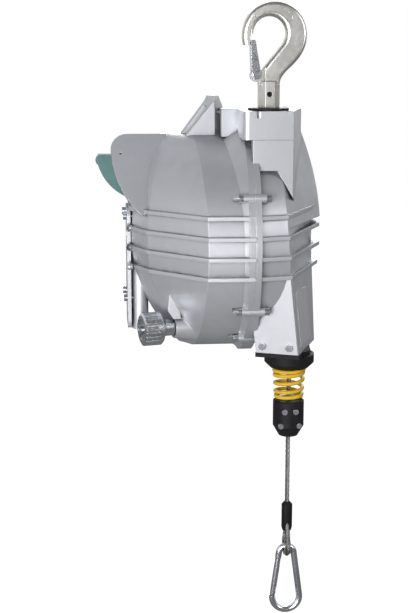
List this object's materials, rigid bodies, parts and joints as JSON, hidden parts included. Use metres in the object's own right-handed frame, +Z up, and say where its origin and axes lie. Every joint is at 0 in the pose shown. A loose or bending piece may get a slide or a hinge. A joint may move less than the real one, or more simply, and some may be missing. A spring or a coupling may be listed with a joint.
{
  "type": "tool balancer",
  "caption": "Spring balancer for heavy hand tools: a finned cast housing on a swivel hook, with a wire rope that ends in a spring hook.",
  "frame": {"origin": "the saddle of the top hook, where the balancer hangs", "axes": "+Z up, +X along the drum axis from the spring side to the rope side, -Y towards the front, where the rope and the hook are in the plane Y = 0"},
  "size_m": [0.2473, 0.2592, 0.676],
  "materials": {
    "casing_metal": "cast aluminium with a thin silver-grey coat",
    "cover_metal": "pale grey painted sheet",
    "forged_steel": "forged steel, worn bright, with brown edges",
    "zinc_steel": "bright zinc plated steel",
    "black_steel": "black painted steel",
    "black_plastic": "black nylon",
    "spring_yellow": "yellow painted spring wire",
    "wire_rope": "galvanised steel wire rope",
    "bronze": "bearing bronze",
    "inner_steel": "machined and oiled steel",
    "teal_paint": "dark blue-green painted sheet"
  },
  "bodies": {
    "hook": {"top_hook": "forged_steel", "latch_pin": "zinc_steel", "swivel_washer": "black_steel", "thrust_race_low": "inner_steel", "thrust_balls": "inner_steel", "swivel_nut": "inner_steel", "swivel_nut_pin": "inner_steel"},
    "latch": {"hook_latch": "zinc_steel"},
    "housing": {"left_casing": "casing_metal", "right_casing": "casing_metal", "suspension_block": "casing_metal", "block_screws": "zinc_steel", "flange_bolts": "zinc_steel", "outlet_cover": "cover_metal", "outlet_cover_screws": "zinc_steel", "data_plate": "cover_metal", "end_cover": "cover_metal", "end_cover_screws": "zinc_steel", "end_bush": "bronze", "adjuster_guard": "teal_paint", "worm_brackets": "black_steel", "rope_guide": "black_plastic", "thrust_race_top": "inner_steel", "bearing_outer_ring": "inner_steel", "rope_inside": "wire_rope"},
    "drum": {"rope_drum": "casing_metal", "wound_rope": "wire_rope", "spring_can": "inner_steel", "lock_disc": "inner_steel", "mainspring": "inner_steel", "main_shaft": "inner_steel", "bearing_inner_ring": "inner_steel", "bearing_balls": "inner_steel"},
    "arbor": {"spring_arbor": "inner_steel", "worm_wheel": "bronze"},
    "worm": {"worm": "inner_steel"},
    "lock_pin": {"lock_pin": "inner_steel"},
    "knob": {"lock_knob": "zinc_steel", "knob_screw": "zinc_steel"},
    "load_line": {"rope_at_guide": "wire_rope", "rope": "wire_rope", "rope_eye": "wire_rope", "buffer_spring": "spring_yellow", "clamp_front": "black_steel", "clamp_back": "black_steel", "clamp_screws": "zinc_steel", "sleeve": "black_plastic", "thimble": "zinc_steel"},
    "load_hook": {"spring_hook": "zinc_steel", "gate_pin": "zinc_steel"},
    "gate": {"spring_hook_gate": "zinc_steel"}
  },
  "joints": [
    {"name": "housing_swivel", "type": "hinge", "parent": "hook", "child": "housing", "pos_m": [0, 0, -0.1], "axis": [0, 0, 1], "continuous": true},
    {"name": "latch_open", "type": "hinge", "parent": "hook", "child": "latch", "pos_m": [-0.0134, 0, -0.0595], "axis": [0, 1, 0], "range_deg": [0, 30], "stiffness_Nm_per_rad": 0.06, "springref_deg": -34.38},
    {"name": "drum_spin", "type": "hinge", "parent": "housing", "child": "drum", "pos_m": [0, 0.07, -0.236], "axis": [1, 0, 0], "range_deg": [0, 1620], "stiffness_Nm_per_rad": 0.05, "springref_deg": -9625.69},
    {"name": "rope_slide", "type": "slide", "parent": "housing", "child": "load_line", "axis": [0, 0, -1], "range_m": [0, 1.9794], "deforming": ["rope_at_guide"]},
    {"name": "worm_turn", "type": "hinge", "parent": "housing", "child": "worm", "pos_m": [-0.123, 0.07, -0.1877], "axis": [0, 1, 0], "range_deg": [0, 3600]},
    {"name": "arbor_turn", "type": "hinge", "parent": "housing", "child": "arbor", "pos_m": [-0.123, 0.07, -0.236], "axis": [1, 0, 0], "range_deg": [0, 138.5]},
    {"name": "lock_slide", "type": "slide", "parent": "housing", "child": "lock_pin", "axis": [0.9659, 0.2588, 0], "range_m": [0, 0.008]},
    {"name": "knob_turn", "type": "hinge", "parent": "lock_pin", "child": "knob", "pos_m": [-0.135, 0, -0.328], "axis": [0.9659, 0.2588, 0], "range_deg": [0, 90]},
    {"name": "load_hook_swing", "type": "hinge", "parent": "load_line", "child": "load_hook", "pos_m": [0.0255, 0, -0.5807], "axis": [1, 0, 0], "range_deg": [-35, 35]},
    {"name": "gate_open", "type": "hinge", "parent": "load_hook", "child": "gate", "pos_m": [0.01055, 0, -0.63692], "axis": [0, 1, 0], "range_deg": [0, 17], "stiffness_Nm_per_rad": 0.03, "springref_deg": -28.65}
  ],
  "couplings": [
    {"joint": "rope_slide", "follows": "drum_spin", "m_per_rad": 0.07},
    {"joint": "arbor_turn", "follows": "worm_turn", "ratio": 0.038462}
  ]
}
